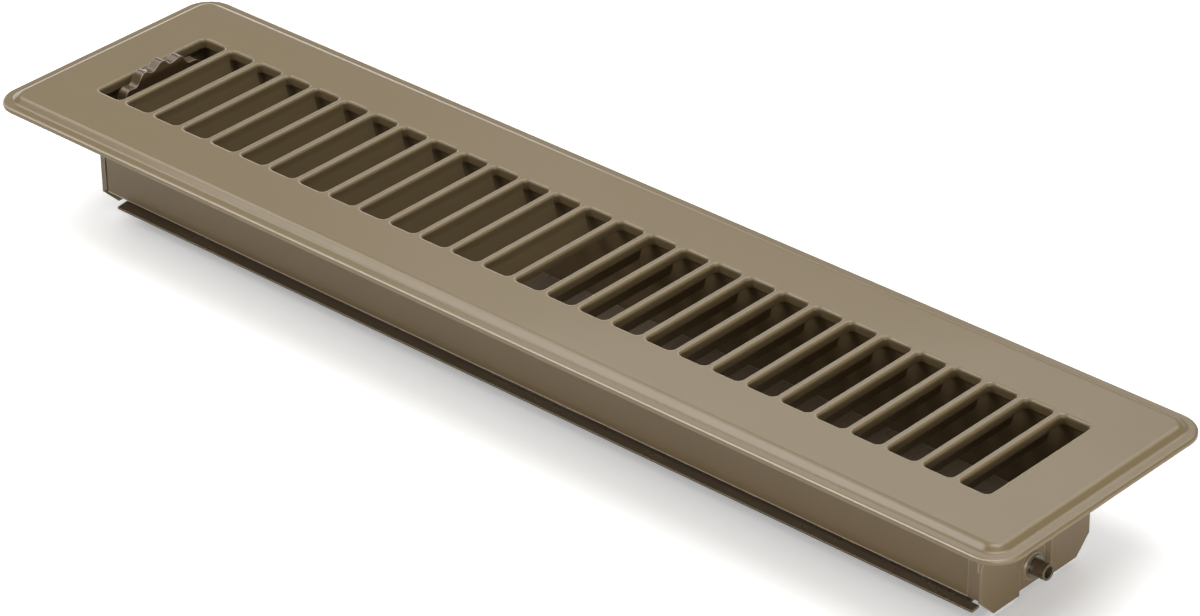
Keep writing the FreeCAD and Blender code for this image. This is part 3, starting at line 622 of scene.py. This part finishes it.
def buildWorld():
    # pale low sky as of a white backdrop, dimmer overhead
    world = bpy.data.worlds.new("studioWorld")
    scene.world = world
    world.use_nodes = True
    tree = world.node_tree
    back = tree.nodes["Background"]
    place = addNode(tree, "ShaderNodeTexCoord", (-1100, 0))
    split = addNode(tree, "ShaderNodeSeparateXYZ", (-900, 0))
    tree.links.new(place.outputs["Generated"], split.inputs[0])
    height = addNode(tree, "ShaderNodeMapRange", (-700, 0), interpolation_type="SMOOTHSTEP")
    height.inputs["From Min"].default_value = 0.0
    height.inputs["From Max"].default_value = stageLook["skyTurn"]
    tree.links.new(split.outputs["Z"], height.inputs["Value"])
    sky = mixColour(tree, height.outputs["Result"], stageLook["skyLow"], stageLook["skyHigh"], (-500, 0))
    seen = addNode(tree, "ShaderNodeLightPath", (-600, 200))
    tree.links.new(mixColour(tree, seen.outputs["Is Camera Ray"], sky, stageLook["worldSeen"], (-300, 100)),
                   back.inputs["Color"])
    strength = mathNode(tree, "MAXIMUM", seen.outputs["Is Camera Ray"], stageLook["worldStrength"], (-300, -100))
    tree.links.new(strength, back.inputs["Strength"])


lampLooks = {
    "keySoftbox": {"place": (-0.52, -0.58, 0.86), "aim": (0.0, 0.0, 0.0), "width": 0.6, "height": 0.6,
                   "watts": 5.8, "colour": (1.0, 0.995, 0.98)},
    "leftSoftbox": {"place": (-0.85, 0.02, 0.98), "aim": (0.0, 0.0, 0.0), "width": 0.7, "height": 0.7,
                    "watts": 4.4, "colour": (1.0, 0.995, 0.98)},
    "overheadSoftbox": {"place": (0.30, 0.05, 1.20), "aim": (0.05, 0.0, 0.0), "width": 0.8, "height": 0.8,
                        "watts": 9.5, "colour": (1.0, 0.995, 0.98)},
    "backSoftbox": {"place": (0.05, 0.85, 1.05), "aim": (0.0, 0.0, 0.0), "width": 0.9, "height": 0.7,
                    "watts": 4.5, "colour": (1.0, 0.995, 0.98)},
    "lowBackPanel": {"place": (-1.29, 0.74, 0.18), "aim": (0.0, 0.0, 0.0), "width": 1.3, "height": 0.3,
                     "watts": 3.5, "colour": (1.0, 1.0, 1.0)},
    "leftSheen": {"place": (-0.80, 0.60, 0.66), "aim": (-0.15, 0.0, 0.0), "width": 0.40, "height": 0.28,
                  "watts": 0.12, "colour": (1.0, 1.0, 1.0)},
    "rightSheen": {"place": (-0.42, 0.60, 0.62), "aim": (0.05, 0.0, 0.0), "width": 0.40, "height": 0.26,
                   "watts": 0.66, "colour": (1.0, 1.0, 1.0)},
    "frontFill": {"place": (-0.3, -1.3, 0.20), "aim": (0.0, 0.0, -0.01), "width": 1.2, "height": 0.3,
                  "watts": 0.8, "colour": (1.0, 0.98, 0.95)},
    "cornerFill": {"place": (1.15, -0.85, 0.12), "aim": (0.10, 0.0, -0.02), "width": 0.7, "height": 0.2,
                   "watts": 7.0, "colour": (1.0, 0.99, 0.97)},
    "rightFill": {"place": (1.4, -0.1, 0.10), "aim": (0.15, 0.0, -0.02), "width": 0.8, "height": 0.2,
                  "watts": 5.5, "colour": (1.0, 0.99, 0.97)},
}


def buildLamp(name, look):
    data = bpy.data.lights.new(name, "AREA")
    data.shape = "RECTANGLE"
    data.size = look["width"]
    data.size_y = look["height"]
    data.energy = look["watts"]
    data.color = look["colour"]
    lamp = addObject(name, data)
    towards = Vector(look["aim"]) - Vector(look["place"])
    turn = towards.to_track_quat("-Z", "Y").to_matrix().to_4x4()
    lamp.matrix_world = Matrix.Translation(look["place"]) @ turn


buildFloor()
buildWorld()
for lampName, lampLook in lampLooks.items():
    buildLamp(lampName, lampLook)
print("stage: floor and lights set")


# camera, matched to the photograph
cameraLook = {
    "azimuth": 42.95,
    "elevation": 30.714,
    "roll": -1.077,
    "distance": 1.4129,
    "target": (0.03091, -0.01855, 0.0033),
    "lens": 149.24,
    "sensor": 36.0,
    "reach": 50.0,
}


def buildCamera():
    azimuth = math.radians(cameraLook["azimuth"])
    elevation = math.radians(cameraLook["elevation"])
    roll = math.radians(cameraLook["roll"])
    forward = Vector((-math.sin(azimuth) * math.cos(elevation), math.cos(azimuth) * math.cos(elevation),
                      -math.sin(elevation)))
    right = Vector((math.cos(azimuth), math.sin(azimuth), 0.0))
    up = right.cross(forward)
    imageX = math.cos(roll) * right + math.sin(roll) * up
    imageY = -math.sin(roll) * right + math.cos(roll) * up
    spot = Vector(cameraLook["target"]) - cameraLook["distance"] * forward
    data = bpy.data.cameras.new("photoCamera")
    data.lens = cameraLook["lens"]
    data.sensor_width = cameraLook["sensor"]
    data.clip_end = cameraLook["reach"]
    camera = addObject("photoCamera", data)
    turn = Matrix((imageX, imageY, -forward)).transposed()
    camera.matrix_world = Matrix.Translation(spot) @ turn.to_4x4()
    return camera


bpy.context.scene.camera = buildCamera()
scene.view_settings.view_transform = "Standard"
print("stage: camera set")
